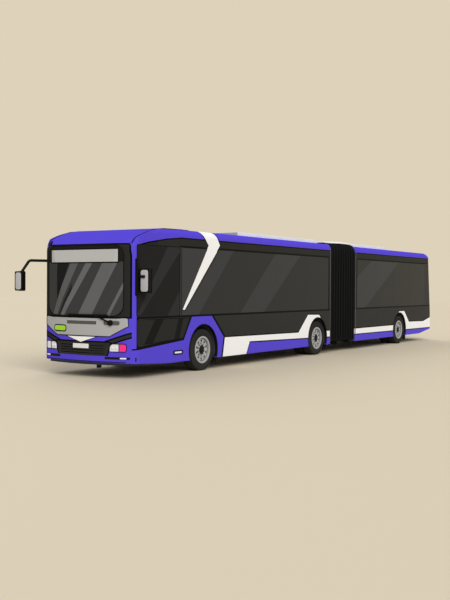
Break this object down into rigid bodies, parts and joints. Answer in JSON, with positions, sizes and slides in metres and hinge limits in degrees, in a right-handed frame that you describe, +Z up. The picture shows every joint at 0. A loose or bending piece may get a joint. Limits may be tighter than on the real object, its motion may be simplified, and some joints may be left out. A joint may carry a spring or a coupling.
{
  "type": "articulated bus",
  "caption": "Articulated low-floor city bus with a folding bellows joint, steered front wheels, twin middle and rear wheels, inward-swinging double doors and an engine lid.",
  "frame": {"origin": "on the ground, below the middle of the box round the whole bus with its mirrors", "axes": "+X forward, +Y to the bus's left, +Z up"},
  "size_m": [18.48, 3.11, 3.2999],
  "materials": {
    "white_paint": "gloss",
    "indigo_paint": "gloss",
    "dark_paint": "gloss",
    "grey_panel": "satin",
    "tinted_glass": "polished",
    "screen_glass": "polished",
    "black_plastic": "matt",
    "lamp_plastic": "polished",
    "red_lamp": "polished",
    "floor_board": "matt",
    "chassis_paint": "satin",
    "cast_steel": "rough",
    "seat_plastic": "satin",
    "rim_paint": "satin",
    "tyre_rubber": "matt",
    "bellows_rubber": "matt"
  },
  "bodies": {
    "front_section": {"front_left_wall": "white_paint", "front_right_wall": "white_paint", "front_roof": "white_paint", "front_roof_unit": "white_paint", "nose_shell": "indigo_paint", "windscreen": "screen_glass", "front_side_glass": "tinted_glass", "nose_panel": "grey_panel", "nose_grille": "dark_paint", "headlamps": "lamp_plastic", "wiper": "black_plastic", "front_floor": "floor_board", "front_axle": "chassis_paint", "middle_axle": "chassis_paint", "mirrors": "black_plastic", "front_seats": "seat_plastic", "driver_cab": "black_plastic", "front_portal": "chassis_paint", "bellows": "bellows_rubber"},
    "rear_section": {"rear_left_wall": "white_paint", "rear_right_wall": "white_paint", "rear_roof": "white_paint", "rear_roof_unit": "white_paint", "tail_shell": "indigo_paint", "rear_glass": "tinted_glass", "rear_floor": "floor_board", "rear_axle": "chassis_paint", "engine_block": "cast_steel", "tail_lamps": "red_lamp", "rear_seats": "seat_plastic", "rear_portal": "chassis_paint"},
    "engine_lid": {"engine_lid": "indigo_paint"},
    "knuckle_left": {"knuckle_left": "cast_steel"},
    "knuckle_right": {"knuckle_right": "cast_steel"},
    "tie_rod": {"tie_rod": "chassis_paint"},
    "steering_wheel": {"steering_wheel": "black_plastic"},
    "front_left_wheel": {"front_left_tyre": "tyre_rubber", "front_left_rim": "rim_paint"},
    "front_right_wheel": {"front_right_tyre": "tyre_rubber", "front_right_rim": "rim_paint"},
    "middle_left_wheel": {"middle_left_tyre": "tyre_rubber", "middle_left_rim": "rim_paint"},
    "middle_right_wheel": {"middle_right_tyre": "tyre_rubber", "middle_right_rim": "rim_paint"},
    "rear_left_wheel": {"rear_left_tyre": "tyre_rubber", "rear_left_rim": "rim_paint"},
    "rear_right_wheel": {"rear_right_tyre": "tyre_rubber", "rear_right_rim": "rim_paint"},
    "front_door_a": {"front_door_leaf_a": "dark_paint", "front_door_glass_a": "tinted_glass"},
    "front_door_b": {"front_door_leaf_b": "dark_paint", "front_door_glass_b": "tinted_glass"},
    "middle_door_a": {"middle_door_leaf_a": "dark_paint", "middle_door_glass_a": "tinted_glass"},
    "middle_door_b": {"middle_door_leaf_b": "dark_paint", "middle_door_glass_b": "tinted_glass"},
    "rear_door_a": {"rear_door_leaf_a": "dark_paint", "rear_door_glass_a": "tinted_glass"},
    "rear_door_b": {"rear_door_leaf_b": "dark_paint", "rear_door_glass_b": "tinted_glass"}
  },
  "joints": [
    {"name": "articulation", "type": "hinge", "parent": "front_section", "child": "rear_section", "pos_m": [-1.46, 0, 0.3], "axis": [0, 0, 1], "range_deg": [-50, 50], "deforming": ["bellows"]},
    {"name": "steer_left", "type": "hinge", "parent": "front_section", "child": "knuckle_left", "pos_m": [6.085, 0.945, 0.48], "axis": [0, 0, 1], "range_deg": [-42, 42]},
    {"name": "steer_right", "type": "hinge", "parent": "front_section", "child": "knuckle_right", "pos_m": [6.085, -0.945, 0.48], "axis": [0, 0, 1], "range_deg": [-42, 42]},
    {"name": "tie_rod_ball", "type": "hinge", "parent": "knuckle_left", "child": "tie_rod", "pos_m": [5.855, 0.945, 0.225], "axis": [0, 0, 1], "range_deg": [-42, 42]},
    {"name": "steering_wheel_turn", "type": "hinge", "parent": "front_section", "child": "steering_wheel", "pos_m": [8.06, 0.74, 1.18], "axis": [-0.4226, 0, 0.9063], "range_deg": [-672, 672]},
    {"name": "front_left_roll", "type": "hinge", "parent": "knuckle_left", "child": "front_left_wheel", "pos_m": [6.085, 1.117, 0.48], "axis": [0, 1, 0], "continuous": true},
    {"name": "front_right_roll", "type": "hinge", "parent": "knuckle_right", "child": "front_right_wheel", "pos_m": [6.085, -1.117, 0.48], "axis": [0, 1, 0], "continuous": true},
    {"name": "middle_left_roll", "type": "hinge", "parent": "front_section", "child": "middle_left_wheel", "pos_m": [0.235, 1.117, 0.48], "axis": [0, 1, 0], "continuous": true},
    {"name": "middle_right_roll", "type": "hinge", "parent": "front_section", "child": "middle_right_wheel", "pos_m": [0.235, -1.117, 0.48], "axis": [0, 1, 0], "continuous": true},
    {"name": "rear_left_roll", "type": "hinge", "parent": "rear_section", "child": "rear_left_wheel", "pos_m": [-6.065, 1.117, 0.48], "axis": [0, 1, 0], "continuous": true},
    {"name": "rear_right_roll", "type": "hinge", "parent": "rear_section", "child": "rear_right_wheel", "pos_m": [-6.065, -1.117, 0.48], "axis": [0, 1, 0], "continuous": true},
    {"name": "front_door_swing_a", "type": "hinge", "parent": "front_section", "child": "front_door_a", "pos_m": [8.363, -1.212, 1.3], "axis": [0, 0, -1], "range_deg": [0, 88]},
    {"name": "front_door_swing_b", "type": "hinge", "parent": "front_section", "child": "front_door_b", "pos_m": [7.187, -1.212, 1.3], "axis": [0, 0, 1], "range_deg": [0, 88]},
    {"name": "middle_door_swing_a", "type": "hinge", "parent": "front_section", "child": "middle_door_a", "pos_m": [3.85425, -1.212, 1.3], "axis": [0, 0, -1], "range_deg": [0, 88]},
    {"name": "middle_door_swing_b", "type": "hinge", "parent": "front_section", "child": "middle_door_b", "pos_m": [2.67825, -1.212, 1.3], "axis": [0, 0, 1], "range_deg": [0, 88]},
    {"name": "rear_door_swing_a", "type": "hinge", "parent": "rear_section", "child": "rear_door_a", "pos_m": [-4.127, -1.212, 1.3], "axis": [0, 0, -1], "range_deg": [0, 88]},
    {"name": "rear_door_swing_b", "type": "hinge", "parent": "rear_section", "child": "rear_door_b", "pos_m": [-5.303, -1.212, 1.3], "axis": [0, 0, 1], "range_deg": [0, 88]},
    {"name": "engine_lid_hinge", "type": "hinge", "parent": "rear_section", "child": "engine_lid", "pos_m": [-9.10239, 0, 1.164], "axis": [0, 1, 0], "range_deg": [0, 80]}
  ],
  "couplings": [
    {"joint": "steer_right", "follows": "steer_left", "ratio": 1},
    {"joint": "tie_rod_ball", "follows": "steer_left", "ratio": -1},
    {"joint": "steering_wheel_turn", "follows": "steer_left", "ratio": 16},
    {"joint": "front_door_swing_b", "follows": "front_door_swing_a", "ratio": 1},
    {"joint": "middle_door_swing_b", "follows": "middle_door_swing_a", "ratio": 1},
    {"joint": "rear_door_swing_b", "follows": "rear_door_swing_a", "ratio": 1}
  ]
}
